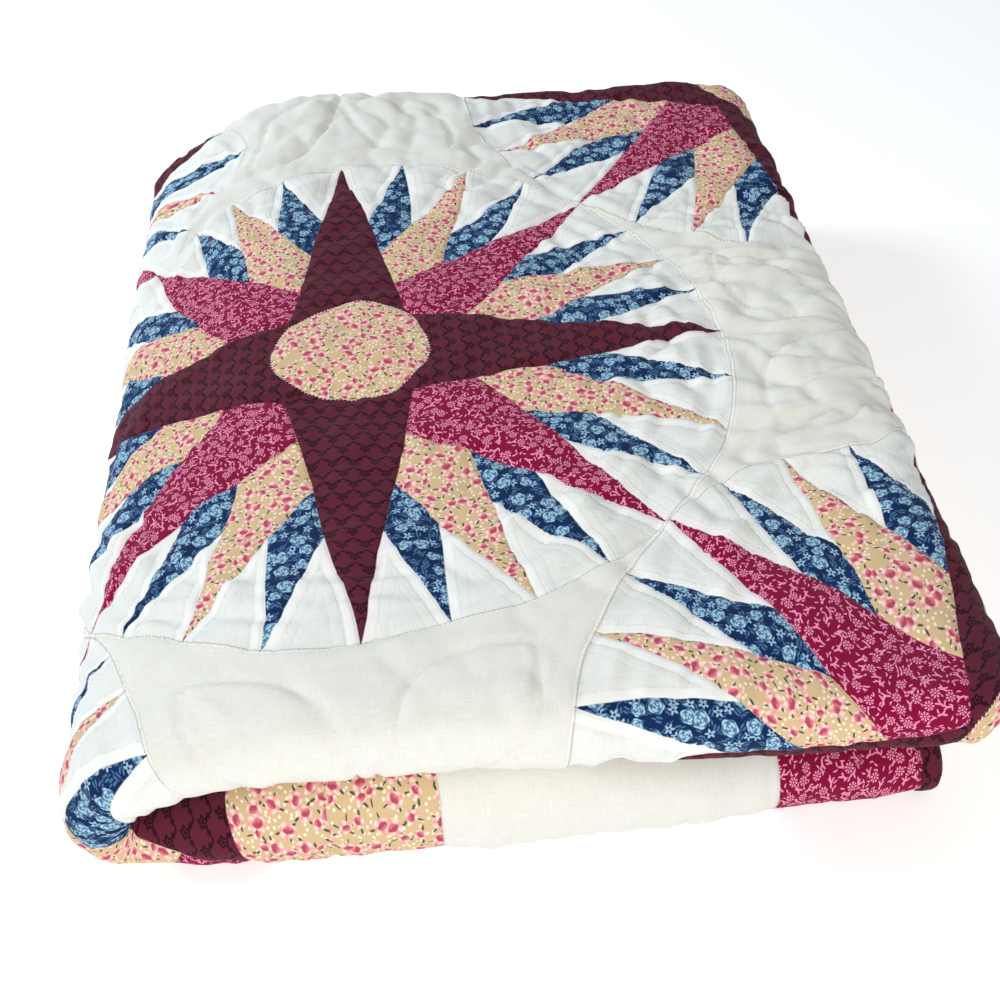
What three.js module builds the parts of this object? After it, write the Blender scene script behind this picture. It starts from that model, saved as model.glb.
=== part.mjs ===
// A pieced star quilt, folded to lie flat on a shelf. It is one quilted sheet with a bound edge.
// The sheet is letter-folded along its length into three layers, and the long strip that this makes
// is letter-folded again across: the middle of the quilt is on top, its left side turns under to the
// floor, and its right side turns in between. Millimetres, +Z up, +Y to the back of the folded pile.
import * as THREE from "three";

// Driving dimensions of the flat quilt
const STAR_RADIUS = 254; // a compass star is pieced into a round hole of this radius
const STAR_PITCH = STAR_RADIUS * Math.SQRT2; // stars touch along the diagonals, so rows lie this far apart
const CENTRE_DISC = 0.207 * STAR_RADIUS;
const RAY_BASE = 0.2 * STAR_RADIUS; // half width of every ray, where its sides would meet the star's centre
const BINDING_WIDTH = 13;
const SIDE_BORDER = 346; // from the pieced field to the outer edge, at the two sides
const END_BORDER = 232; // the same at the head and the foot
const HALF_WIDTH = STAR_PITCH + SIDE_BORDER;
const HALF_LENGTH = 2 * STAR_PITCH + END_BORDER;
const THICKNESS = 8; // top, batting and backing
const BINDING_GAP = 0.3;

// Folding along the length. From the star's middle the sheet runs flat to the rolls at the front and back.
const BACK_ROLL = 0.74; // height of the roll at the back, as a share of the loft
const ROLL_EASE = 20 * (Math.PI / 180); // how steeply the cloth leaves a roll to join its layer
const EASE_RADIUS = 30;
const SHORTEST_SLOPE = 4;
const BACK_NARROWING = 0.3; // share of a strip's narrowing that also shows at the back

// Folding across, in stretches of the strip that leave the star's middle: length, turn in degrees and number
// of steps. The other columns are what the strip has at the far end of the stretch: loft, the height of its
// three layers; front and back, how far it runs flat to its two rolls; roll, the height of the front one; and
// narrowing, the share by which its length is drawn in.
const FACE_PROUD = 3; // the quilt's face lies this far outside the line that the stretches follow
const COLUMNS = ["length", "turn", "steps", "loft", "front", "back", "roll", "narrowing"];
const tabled = (rows) => rows.map((row) => Object.fromEntries(COLUMNS.map((name, k) => [name, row[k + 1]])));
const MIDDLE = { loft: 43, front: 295, back: 358, roll: 46, narrowing: 0 };
const TO_THE_LEFT = tabled([
  // stretch     length turn steps loft front back roll narrowing
  ["top", 18, 0, 1, 44, 295, 359, 45, 0],
  ["shoulder", 127, 28, 4, 44, 296, 364, 43, 0],
  ["upper nose", 52, 62, 4, 39, 297, 364, 42, 0],
  ["lower nose", 58, 90, 5, 36, 297, 360, 37, 0],
  ["under nose", 90, 0, 2, 42, 295, 352, 56, 0],
  ["under panel", 140, 0, 2, 40, 295, 350, 56, 0],
  ["under edge", 221, 0, 3, 28, 292, 346, 38, 0],
]);
const NOSE_ROWS = 4; // rows from the star's middle to the floor
const TO_THE_RIGHT = tabled([
  // stretch     length turn steps loft front back roll narrowing
  ["top", 200, 0, 6, 43, 302, 353, 52, 0],
  ["right edge", 116, 0, 3, 40, 314, 350, 40, 0],
  ["right fold", 124, 182, 8, 39, 314, 350, 37, 0.18],
  ["inner panel", 266, 0, 3, 39, 300, 346, 37, 0.25],
]);
const TOP_LEFT = -150; // the panel that lies on top, on the flat quilt
const TOP_RIGHT = TO_THE_RIGHT[0].length + TO_THE_RIGHT[1].length;
const ALONG_STEPS = { front: [8, 8, 2, 1, 4], back: [9, 6, 2, 1, 4] }; // panel, roll, slope, ease, third

// How the pile has settled
const NOSE_START = -20; // the left end is drawn in from here
const NOSE_END = -170;
const BACK_CORNER_DRAW = 14;
const FRONT_CORNER_DRAW = 6;
const CORNER_DROOP = 0.04;
const HOLLOW = 0.025; // share of the height by which the top rises and dips
const HOLLOW_LENGTH = 310;
const HOLLOW_SLANT = 0.6;
const BACK_SWELL = 0.085; // share of the height by which the back edge swells up left of the middle
const SWELL_PLACE = -30;
const SWELL_WIDTH = 110;

// Quilting, raised in the points of the top face
const PUFF = 2.1;
const PUFF_REACH = 9;
const FINE = 3; // each cell of the top panel is split this many times each way
const FADE = 60; // the quilting fades out over this length at the ends of the top panel

const smooth = (t) => {
  const s = Math.min(1, Math.max(0, t));
  return s * s * (3 - 2 * s);
};

// The point and heading after walking a distance along rows of { length, turn }. The walk starts at the
// origin along the first axis and turns clockwise; turn is in degrees.
function walk(rows, distance) {
  let a = 0;
  let b = 0;
  let heading = 0;
  let left = distance;
  for (const { length, turn } of rows) {
    const step = Math.min(left, length);
    const bend = (turn * Math.PI) / 180 / length;
    const next = heading - bend * step;
    if (Math.abs(bend) < 1e-9) {
      a += step * Math.cos(heading);
      b += step * Math.sin(heading);
    } else {
      a += (Math.sin(heading) - Math.sin(next)) / bend;
      b += (Math.cos(next) - Math.cos(heading)) / bend;
    }
    heading = next;
    left -= step;
    if (left <= 0) break;
  }
  return { a, b, heading };
}

const rowsAcross = (across) => (across < 0 ? TO_THE_LEFT : TO_THE_RIGHT);

// What the strip has at a place across, eased from row to row.
function stripAt(across) {
  const rows = rowsAcross(across);
  const distance = Math.abs(across);
  let before = MIDDLE;
  let start = 0;
  for (const row of rows) {
    if (distance <= start + row.length || row === rows[rows.length - 1]) {
      const t = smooth((distance - start) / row.length);
      const mix = (key) => before[key] + (row[key] - before[key]) * t;
      return Object.fromEntries(Object.keys(MIDDLE).map((key) => [key, mix(key)]));
    }
    before = row;
    start += row.length;
  }
}

const lengthOf = (rows) => rows.reduce((sum, row) => sum + row.length, 0);

// Rows from the star's middle over a roll at one end and back under it, to the layer at depth toLevel.
function alongRows(reach, rollHeight, topLevel, toLevel) {
  const radius = (rollHeight - THICKNESS) / 2;
  const rollFall = radius * (1 + Math.cos(ROLL_EASE));
  const easeFall = EASE_RADIUS * (1 - Math.cos(ROLL_EASE));
  const fall = topLevel + rollFall - easeFall - toLevel;
  const easeDegrees = (ROLL_EASE * 180) / Math.PI;
  const rows = [
    { length: reach, turn: 0 },
    { length: radius * (Math.PI + ROLL_EASE), turn: 180 + easeDegrees },
    { length: Math.max(SHORTEST_SLOPE, fall / Math.sin(ROLL_EASE)), turn: 0 },
    { length: EASE_RADIUS * ROLL_EASE, turn: -easeDegrees },
  ];
  rows.push({ length: HALF_LENGTH - lengthOf(rows), turn: 0 });
  return rows;
}

// The layers of a strip lie at one, three and five sixths of its loft: the outside of the quilt's middle, the
// end that turned in over the back roll, and the end that turned in over the front one.
function alongRowsAt(strip, toFront) {
  const top = strip.loft / 6;
  return toFront
    ? alongRows(strip.front, strip.roll, top, (5 * strip.loft) / 6)
    : alongRows(strip.back, BACK_ROLL * strip.loft, top, strip.loft / 2);
}

// Height of the star's middle: where the walk to the left reaches the floor.
const PILE_HEIGHT = -walk(TO_THE_LEFT, lengthOf(TO_THE_LEFT.slice(0, NOSE_ROWS))).b;

// A point of the flat quilt, raised by offset from its middle layer, carried into the folded pile.
function fold(across, along, offset) {
  const strip = stripAt(across);
  const section = walk(alongRowsAt(strip, along < 0), Math.abs(along));
  const depth = strip.loft / 6 - section.b - offset * Math.cos(section.heading);
  const fore = (section.a - offset * Math.sin(section.heading)) * Math.sign(along || 1);
  const path = walk(rowsAcross(across), Math.abs(across));
  const lowered = depth - strip.loft / 6 + THICKNESS / 2 - FACE_PROUD;
  const side = (path.a + lowered * Math.sin(path.heading)) * Math.sign(across || 1);
  const height = PILE_HEIGHT + path.b - lowered * Math.cos(path.heading);
  const drawnIn = fore * (1 - strip.narrowing * (fore < 0 ? 1 : BACK_NARROWING));
  return settle(side, drawnIn, height + FACE_PROUD);
}

// The pile's own unevenness: its left corners are drawn in and droop, its top rises and dips, and its back
// edge swells.
function settle(x, y, z) {
  const nose = smooth((NOSE_START - x) / (NOSE_START - NOSE_END));
  const back = smooth(y / MIDDLE.back);
  const front = smooth(-y / MIDDLE.front);
  const drawn = y - nose * (BACK_CORNER_DRAW * back * back - FRONT_CORNER_DRAW * front * front);
  const droop = 1 - CORNER_DROOP * nose * back * back;
  const wave = (distance) => (distance * Math.PI) / HOLLOW_LENGTH;
  const hollow = 1 + HOLLOW * Math.sin(wave(x + HOLLOW_SLANT * y)) * Math.cos(wave(y));
  const swell = 1 + BACK_SWELL * back * back * Math.exp(-(((x - SWELL_PLACE) / SWELL_WIDTH) ** 2));
  return new THREE.Vector3(x, drawn, z * droop * hollow * swell);
}

// Distance on the flat quilt to the nearest seam: the rays of the compass, its disc and its round frame.
function seamDistance(across, along) {
  const turned = [(across + along) * Math.SQRT1_2, (along - across) * Math.SQRT1_2];
  const [a, b] = turned.map((v) => v - 2 * STAR_RADIUS * Math.round(v / (2 * STAR_RADIUS)));
  const radius = Math.hypot(a, b);
  const angle = Math.atan2(b, a);
  let nearest = Math.abs(radius - STAR_RADIUS);
  if (radius > STAR_RADIUS) return nearest;
  nearest = Math.min(nearest, Math.abs(radius - CENTRE_DISC));
  if (radius < CENTRE_DISC) return nearest;
  // Four main rays lie over four diagonal ones, those over eight thin ones, and those over sixteen.
  const tiers = [
    { rays: 4, first: Math.PI / 4 },
    { rays: 4, first: 0 },
    { rays: 8, first: Math.PI / 8 },
    { rays: 16, first: Math.PI / 16 },
  ];
  for (const { rays, first } of tiers) {
    const spacing = (2 * Math.PI) / rays;
    const off = angle - first - spacing * Math.round((angle - first) / spacing);
    const inside = RAY_BASE * (1 - (radius * Math.cos(off)) / STAR_RADIUS) - Math.abs(radius * Math.sin(off));
    nearest = Math.min(nearest, Math.abs(inside));
    if (inside > 0) break;
  }
  return nearest;
}

// Height of the quilting at a point of the flat quilt. Only the panel that lies on top is raised.
function quilting(across, along) {
  const fade =
    smooth((across - TOP_LEFT) / FADE) *
    smooth((TOP_RIGHT + FADE / 3 - across) / FADE) *
    smooth((along + MIDDLE.front + FADE / 3) / FADE) *
    smooth((MIDDLE.back - along) / FADE);
  return PUFF * (1 - Math.exp(-seamDistance(across, along) / PUFF_REACH)) * fade;
}

// Places where the flat quilt is cut into cells, from one edge of the quilted sheet to the other. Along the
// length they follow the rolls of the strip that they lie on.
const SHEET_HALF_WIDTH = HALF_WIDTH - BINDING_WIDTH;
const SHEET_HALF_LENGTH = HALF_LENGTH - BINDING_WIDTH;

function placesTo(rows, steps, edge) {
  const places = [];
  let start = 0;
  rows.forEach(({ length }, k) => {
    const end = k === rows.length - 1 ? edge : start + length;
    for (let step = 1; step <= steps[k]; step++) places.push(start + ((end - start) * step) / steps[k]);
    start = end;
  });
  return places;
}

const bothWays = (before, after) => [...before.reverse().map((place) => -place), 0, ...after];

const ACROSS = bothWays(
  placesTo(TO_THE_LEFT, TO_THE_LEFT.map((row) => row.steps), SHEET_HALF_WIDTH),
  placesTo(TO_THE_RIGHT, TO_THE_RIGHT.map((row) => row.steps), SHEET_HALF_WIDTH),
);

function placesAlong(across) {
  const strip = stripAt(across);
  return bothWays(
    placesTo(alongRowsAt(strip, true), ALONG_STEPS.front, SHEET_HALF_LENGTH),
    placesTo(alongRowsAt(strip, false), ALONG_STEPS.back, SHEET_HALF_LENGTH),
  );
}

function geometryOf(points, triangles) {
  const geometry = new THREE.BufferGeometry().setFromPoints(points);
  geometry.setIndex(triangles.flat());
  geometry.computeVertexNormals();
  return geometry;
}

// The quilted sheet: a face with the top panel in small cells, a back in large cells, and a rim between.
function quiltedSheet() {
  const points = [];
  const triangles = [];
  const found = new Map();
  const columns = ACROSS.length - 1;
  const rows = placesAlong(0).length - 1;
  const between = (list, k) => {
    const low = Math.min(Math.floor(k / FINE), list.length - 2);
    return list[low] + (list[low + 1] - list[low]) * (k / FINE - low);
  };
  const vertex = (i, j, face) => {
    const key = `${i} ${j} ${face}`;
    if (!found.has(key)) {
      const across = between(ACROSS, i);
      const along = between(placesAlong(across), j);
      const offset = face ? THICKNESS / 2 + quilting(across, along) : -THICKNESS / 2;
      found.set(key, points.length);
      points.push(fold(across, along, offset));
    }
    return found.get(key);
  };
  const firstColumn = ACROSS.findIndex((place) => place > TOP_LEFT);
  const lastColumn = ACROSS.findIndex((place) => place > TOP_RIGHT - 1);
  const middleRow = placesAlong(0).indexOf(0);
  const firstRow = middleRow - ALONG_STEPS.front[0];
  const lastRow = middleRow + ALONG_STEPS.back[0];
  const fine = (i, j) => i >= firstColumn && i < lastColumn && j >= firstRow && j < lastRow;

  for (let i = 0; i < columns; i++) {
    for (let j = 0; j < rows; j++) {
      const corner = (di, dj, face) => vertex((i + di) * FINE, (j + dj) * FINE, face);
      triangles.push([corner(0, 0, false), corner(1, 1, false), corner(1, 0, false)]);
      triangles.push([corner(0, 0, false), corner(0, 1, false), corner(1, 1, false)]);
      if (fine(i, j)) {
        for (let a = i * FINE; a < (i + 1) * FINE; a++) {
          for (let b = j * FINE; b < (j + 1) * FINE; b++) {
            triangles.push([vertex(a, b, true), vertex(a + 1, b, true), vertex(a + 1, b + 1, true)]);
            triangles.push([vertex(a, b, true), vertex(a + 1, b + 1, true), vertex(a, b + 1, true)]);
          }
        }
        continue;
      }
      // The cell's outline, counterclockwise, with the small steps of a fine neighbour, starting so that
      // a fan from its first corner has no flat triangle.
      const sides = [
        { from: [0, 0], by: [1, 0], split: fine(i, j - 1) },
        { from: [1, 0], by: [0, 1], split: fine(i + 1, j) },
        { from: [1, 1], by: [-1, 0], split: fine(i, j + 1) },
        { from: [0, 1], by: [0, -1], split: fine(i - 1, j) },
      ];
      const first = (Math.max(0, sides.findIndex((side) => side.split)) + 2) % 4;
      const outline = [];
      for (let k = 0; k < 4; k++) {
        const { from, by, split } = sides[(first + k) % 4];
        const parts = split ? FINE : 1;
        for (let step = 0; step < parts; step++) {
          const at = (axis) => ((axis ? j : i) + from[axis]) * FINE + (by[axis] * FINE * step) / parts;
          outline.push(vertex(at(0), at(1), true));
        }
      }
      for (let k = 1; k < outline.length - 1; k++) triangles.push([outline[0], outline[k], outline[k + 1]]);
    }
  }
  const rim = (i, j, di, dj) => {
    const face = [vertex(i * FINE, j * FINE, true), vertex((i + di) * FINE, (j + dj) * FINE, true)];
    const back = [vertex(i * FINE, j * FINE, false), vertex((i + di) * FINE, (j + dj) * FINE, false)];
    triangles.push([face[0], back[0], back[1]], [face[0], back[1], face[1]]);
  };
  for (let i = 0; i < columns; i++) {
    rim(i, 0, 1, 0);
    rim(i + 1, rows, -1, 0);
  }
  for (let j = 0; j < rows; j++) {
    rim(columns, j, 0, 1);
    rim(0, j + 1, 0, -1);
  }
  return geometryOf(points, triangles);
}

// The binding: a strip folded over the raw edge all the way round, mitred at the four corners.
function edgeBinding() {
  const innerX = SHEET_HALF_WIDTH + BINDING_GAP;
  const innerY = SHEET_HALF_LENGTH + BINDING_GAP;
  const acrossInside = ACROSS.slice(1, -1);
  const leftInside = placesAlong(-SHEET_HALF_WIDTH).slice(1, -1);
  const rightInside = placesAlong(SHEET_HALF_WIDTH).slice(1, -1);
  const stops = [
    { inner: [-innerX, -innerY], outer: [-HALF_WIDTH, -HALF_LENGTH] },
    ...acrossInside.map((x) => ({ inner: [x, -innerY], outer: [x, -HALF_LENGTH] })),
    { inner: [innerX, -innerY], outer: [HALF_WIDTH, -HALF_LENGTH] },
    ...rightInside.map((y) => ({ inner: [innerX, y], outer: [HALF_WIDTH, y] })),
    { inner: [innerX, innerY], outer: [HALF_WIDTH, HALF_LENGTH] },
    ...acrossInside.toReversed().map((x) => ({ inner: [x, innerY], outer: [x, HALF_LENGTH] })),
    { inner: [-innerX, innerY], outer: [-HALF_WIDTH, HALF_LENGTH] },
    ...leftInside.reverse().map((y) => ({ inner: [-innerX, y], outer: [-HALF_WIDTH, y] })),
  ];
  // Section of the strip: share of its width from the inner edge, and height
  const section = [
    { out: 0, up: -0.5 },
    { out: 0.75, up: -0.5 },
    { out: 1, up: 0 },
    { out: 0.75, up: 0.5 },
    { out: 0, up: 0.5 },
  ];
  const points = [];
  for (const { inner, outer } of stops) {
    for (const { out, up } of section) {
      const at = (axis) => inner[axis] + (outer[axis] - inner[axis]) * out;
      points.push(fold(at(0), at(1), up * THICKNESS));
    }
  }
  const triangles = [];
  const sides = section.length;
  stops.forEach((_, k) => {
    const here = k * sides;
    const next = ((k + 1) % stops.length) * sides;
    for (let s = 0; s < sides; s++) {
      const t = (s + 1) % sides;
      triangles.push([here + s, next + t, here + t], [here + s, next + s, next + t]);
    }
  });
  return geometryOf(points, triangles);
}

function piece(name, geometry, colour, roughness) {
  const material = new THREE.MeshStandardMaterial({ color: colour, roughness, metalness: 0 });
  const mesh = new THREE.Mesh(geometry, material);
  mesh.name = name;
  return mesh;
}

// The origin lies on the floor under the middle of the pile.
const sheet = quiltedSheet();
sheet.computeBoundingBox();
const middle = sheet.boundingBox.getCenter(new THREE.Vector3());

const quilt = new THREE.Group();
quilt.add(piece("quilt", sheet, 0xe9e6da, 0.9));
quilt.add(piece("binding", edgeBinding(), 0x6a2440, 0.85));
quilt.position.set(-middle.x, -middle.y, 0);

export default quilt;
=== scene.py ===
import math

import bpy
import numpy as np
from mathutils import Matrix, Vector


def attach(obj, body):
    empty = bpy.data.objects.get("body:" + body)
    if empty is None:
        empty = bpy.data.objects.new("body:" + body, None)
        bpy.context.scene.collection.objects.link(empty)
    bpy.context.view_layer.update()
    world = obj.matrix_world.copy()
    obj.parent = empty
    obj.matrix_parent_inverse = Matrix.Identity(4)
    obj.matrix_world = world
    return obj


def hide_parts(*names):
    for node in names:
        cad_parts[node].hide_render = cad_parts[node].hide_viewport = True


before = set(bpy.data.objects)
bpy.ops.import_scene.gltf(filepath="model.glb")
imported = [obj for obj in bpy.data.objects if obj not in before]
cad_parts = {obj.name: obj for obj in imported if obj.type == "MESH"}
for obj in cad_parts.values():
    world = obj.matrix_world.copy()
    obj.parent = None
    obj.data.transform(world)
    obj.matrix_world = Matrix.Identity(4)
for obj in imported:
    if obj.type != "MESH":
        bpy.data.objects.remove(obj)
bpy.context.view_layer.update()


# The quilted sheet
# A pieced cotton top, thin batting and a cotton backing, sewn through by hand all over, so that they act as
# one sheet. It is letter-folded along its length, then across, and lies on the outside of its lowest strip.
MM = 0.001
STAR_RADIUS = 254.0
STAR_PITCH = STAR_RADIUS * math.sqrt(2)
CENTRE_DISC = 0.207 * STAR_RADIUS
RAY_BASE = 0.2 * STAR_RADIUS
BINDING_WIDTH = 13.0
TAN_BAND = 60.0
RASPBERRY_BAND = 85.0
HALF_WIDTH = STAR_PITCH + 346.0
HALF_LENGTH = 2 * STAR_PITCH + 232.0
THICKNESS = 8.0
PILE_MIDDLE = (94.77, 20.67)  # from the star's middle; the pile's middle lies over the frame's origin

# The folds, in mm and degrees: stretches of the strip to each side of the star's middle, and what the strip
# has at the far end of each.
BACK_ROLL = 0.74
ROLL_EASE = math.radians(20)
EASE_RADIUS = 30.0
SHORTEST_SLOPE = 4.0
BACK_NARROWING = 0.3
FACE_PROUD = 3.0
STRETCH = ("length", "turn", "loft", "front", "back", "roll", "narrowing")
MIDDLE = {"loft": 43, "front": 295, "back": 358, "roll": 46, "narrowing": 0}
TO_THE_LEFT = [dict(zip(STRETCH, row)) for row in (
    (18, 0, 44, 295, 359, 45, 0),
    (127, 28, 44, 296, 364, 43, 0),
    (52, 62, 39, 297, 364, 42, 0),
    (58, 90, 36, 297, 360, 37, 0),
    (90, 0, 42, 295, 352, 56, 0),
    (140, 0, 40, 295, 350, 56, 0),
    (221, 0, 28, 292, 346, 38, 0),
)]
TO_THE_RIGHT = [dict(zip(STRETCH, row)) for row in (
    (200, 0, 43, 302, 353, 52, 0),
    (116, 0, 40, 314, 350, 40, 0),
    (124, 182, 39, 314, 350, 37, 0.18),
    (266, 0, 39, 300, 346, 37, 0.25),
)]
NOSE_ROWS = 4
NOSE_START = -20.0
NOSE_END = -170.0
BACK_CORNER_DRAW = 14.0
FRONT_CORNER_DRAW = 6.0
CORNER_DROOP = 0.04
HOLLOW = 0.025
HOLLOW_LENGTH = 310.0
HOLLOW_SLANT = 0.6
BACK_SWELL = 0.085
SWELL_PLACE = -30.0
SWELL_WIDTH = 110.0


def smooth(t):
    s = np.clip(t, 0, 1)
    return s * s * (3 - 2 * s)


def walk(rows, distance):
    """Point and heading after walking a distance along rows of (length, turn); lengths may be arrays."""
    a, b, heading = (np.zeros_like(distance) for _ in range(3))
    left = distance.copy()
    for length, turn in rows:
        step = np.clip(left, 0, length)
        bend = np.radians(turn) / length
        after = heading - bend * step
        if turn:
            a += (np.sin(heading) - np.sin(after)) / bend
            b += (np.cos(after) - np.cos(heading)) / bend
        else:
            a += step * np.cos(heading)
            b += step * np.sin(heading)
        heading = after
        left = left - step
    return a, b, heading


def strip_at(rows, distance):
    """What the strip has at places across, eased from stretch to stretch."""
    strip = {}
    for key, value in MIDDLE.items():
        strip[key] = np.full_like(distance, value)
        start = 0
        for row in rows:
            strip[key] += (row[key] - value) * smooth((distance - start) / row["length"])
            start += row["length"]
            value = row[key]
    return strip


def along_rows(reach, roll_height, top_level, to_level):
    radius = (roll_height - THICKNESS) / 2
    fall = top_level + radius * (1 + math.cos(ROLL_EASE)) - EASE_RADIUS * (1 - math.cos(ROLL_EASE)) - to_level
    slope = np.maximum(SHORTEST_SLOPE, fall / math.sin(ROLL_EASE))
    ease = math.degrees(ROLL_EASE)
    return [(reach, 0), (radius * (math.pi + ROLL_EASE), 180 + ease), (slope, 0),
            (EASE_RADIUS * ROLL_EASE, -ease), (np.full_like(reach, HALF_LENGTH), 0)]


def across_rows(rows):
    return [(float(row["length"]), row["turn"]) for row in rows]


PILE_HEIGHT = -walk(across_rows(TO_THE_LEFT[:NOSE_ROWS]), np.array([HALF_WIDTH]))[1][0]


def settle(x, y, z):
    nose = smooth((NOSE_START - x) / (NOSE_START - NOSE_END))
    back = smooth(y / MIDDLE["back"])
    front = smooth(-y / MIDDLE["front"])
    drawn = y - nose * (BACK_CORNER_DRAW * back**2 - FRONT_CORNER_DRAW * front**2)
    droop = 1 - CORNER_DROOP * nose * back**2
    wave = math.pi / HOLLOW_LENGTH
    hollow = 1 + HOLLOW * np.sin(wave * (x + HOLLOW_SLANT * y)) * np.cos(wave * y)
    swell = 1 + BACK_SWELL * back**2 * np.exp(-(((x - SWELL_PLACE) / SWELL_WIDTH) ** 2))
    return np.stack([x - PILE_MIDDLE[0], drawn - PILE_MIDDLE[1], z * droop * hollow * swell], -1) * MM


def fold(across, along, offset):
    """Points of the flat quilt in mm, raised by offset from its middle layer, carried into the pile in m."""
    across, along, offset = (np.ravel(v).astype(float) for v in np.broadcast_arrays(across, along, offset))
    points = np.zeros((across.size, 3))
    for side, rows in ((-1, TO_THE_LEFT), (1, TO_THE_RIGHT)):
        for end in (-1, 1):
            here = ((across < 0) == (side < 0)) & ((along < 0) == (end < 0))
            if not here.any():
                continue
            distance = np.abs(across[here])
            strip = strip_at(rows, distance)
            top = strip["loft"] / 6
            if end < 0:
                lengthwise = along_rows(strip["front"], strip["roll"], top, 5 * top)
            else:
                lengthwise = along_rows(strip["back"], BACK_ROLL * strip["loft"], top, 3 * top)
            reach, drop, heading = walk(lengthwise, np.abs(along[here]))
            lowered = THICKNESS / 2 - FACE_PROUD - drop - offset[here] * np.cos(heading)
            fore = (reach - offset[here] * np.sin(heading)) * end
            a, b, heading = walk(across_rows(rows), distance)
            x = (a + lowered * np.sin(heading)) * side
            z = PILE_HEIGHT + FACE_PROUD + b - lowered * np.cos(heading)
            y = fore * (1 - strip["narrowing"] * (1 if end < 0 else BACK_NARROWING))
            points[here] = settle(x, y, z)
    return points


# Hand work is uneven: seams wander, stars are not quite round, and the quilting puckers.
def unevenness(p, q, length, seed):
    """Smooth random values from -1 to 1 over the flat quilt, about that many mm apart."""
    size = 64
    table = np.random.default_rng(seed).uniform(-1, 1, (size, size))
    c, s = math.cos(seed), math.sin(seed)
    x, y = (c * p - s * q) / length + 10 * size, (s * p + c * q) / length + 10 * size
    i, j = np.floor(x).astype(int), np.floor(y).astype(int)
    s, t = smooth(x - i), smooth(y - j)
    value = lambda right, up: table[(i + right) % size, (j + up) % size]
    near = value(0, 0) * (1 - s) + value(1, 0) * s
    far = value(0, 1) * (1 - s) + value(1, 1) * s
    return near * (1 - t) + far * t


SEAM_WANDER = ((66, 2.4), (24, 1.1))  # length, most distance
PULL_FADE = 40.0
DRAWN_IN = (  # where piecing drew the pattern in: place across and along, reach of each, how far for each
    (-100, 300, 50, 50, -40, 8),
    (-150, 190, 50, 60, -38, 17),
    (-60, 230, 40, 30, 0, 10),
    (-180, -185, 45, 40, -14, 13),
    (-50, -262, 70, 30, 2, 7),
    (-130, -285, 40, 50, 4, -9),
    (345, 90, 65, 90, 22, 8),
    (310, -120, 55, 50, 6, 15),
    (290, -310, 75, 60, 9, 22),
)


def as_sewn(p, q):
    """Where on the drawn pattern a point of the sheet really falls."""
    sewn_p, sewn_q = p, q
    for place_p, place_q, reach_p, reach_q, by_p, by_q in DRAWN_IN:
        share = np.exp(-(((p - place_p) / reach_p) ** 2) - ((q - place_q) / reach_q) ** 2)
        share = share * smooth((STAR_PITCH - np.abs(p)) / PULL_FADE)
        sewn_p, sewn_q = sewn_p + by_p * share, sewn_q + by_q * share
    for seed, (length, most) in enumerate(SEAM_WANDER):
        sewn_p = sewn_p + most * unevenness(p, q, length, 2 * seed + 1)
        sewn_q = sewn_q + most * unevenness(p, q, length, 2 * seed + 2)
    return sewn_p, sewn_q


# Rays of a compass star, from the tier on top to the lowest: how many, and the angle of the first.
TIERS = {
    "burgundy": (4, math.pi / 4),
    "raspberry": (4, 0.0),
    "tan": (8, math.pi / 8),
    "navy": (16, math.pi / 16),
}
DISC_SHIFT = (7.0, 3.0)  # each disc is sewn on a little off the middle, and is not quite round
DISC_WAVES = ((3, 0.6, 1.6), (7, 2.0, 0.9))  # waves, phase, height


def star_place(p, q):
    """Place from the nearest star's middle, and the star's column and row; stars touch, in rows turned by 45
    degrees. It takes arrays or shader sockets."""
    a, b = (p + q) * math.sqrt(0.5), (q - p) * math.sqrt(0.5)
    column, row = (a / (2 * STAR_RADIUS)).round(), (b / (2 * STAR_RADIUS)).round()
    return a - column * (2 * STAR_RADIUS), b - row * (2 * STAR_RADIUS), column, row


def disc_radius(angle):
    return CENTRE_DISC + sum(height * np.sin(waves * angle + phase) for waves, phase, height in DISC_WAVES)


def seams(p, q):
    """Distances to the nearest seam and the nearest ray's edge, masks of the cream ground inside and outside
    the stars' circles, and the distance and angle from the star's middle."""
    a, b, _, _ = star_place(p, q)
    radius, angle = np.hypot(a, b), np.arctan2(b, a)
    a, b = a - DISC_SHIFT[0], b - DISC_SHIFT[1]
    disc = disc_radius(np.arctan2(b, a)) - np.hypot(a, b)
    to_ray = np.full_like(radius, STAR_RADIUS)
    covered = (disc > 0) | (radius > STAR_RADIUS)
    for rays, first in TIERS.values():
        spacing = 2 * math.pi / rays
        off = angle - first - spacing * np.round((angle - first) / spacing)
        inside = RAY_BASE * (1 - radius * np.cos(off) / STAR_RADIUS) - np.abs(radius * np.sin(off))
        to_ray = np.where(covered, to_ray, np.minimum(to_ray, np.abs(inside)))
        covered |= inside > 0
    beyond = np.maximum(np.abs(p) - STAR_PITCH, np.abs(q) - 2 * STAR_PITCH)
    to_edge = np.minimum(HALF_WIDTH - np.abs(p), HALF_LENGTH - np.abs(q))
    border = np.minimum(np.minimum(np.abs(beyond), np.abs(beyond - TAN_BAND)),
                        np.abs(to_edge - BINDING_WIDTH - RASPBERRY_BAND))
    field = beyond < 0
    nearest = np.minimum(np.minimum(np.abs(radius - STAR_RADIUS), np.abs(disc)), to_ray)
    nearest = np.where(field, np.minimum(nearest, np.abs(beyond)), border)
    return nearest, to_ray, field & ~covered, field & (radius > STAR_RADIUS), radius, angle


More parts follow.
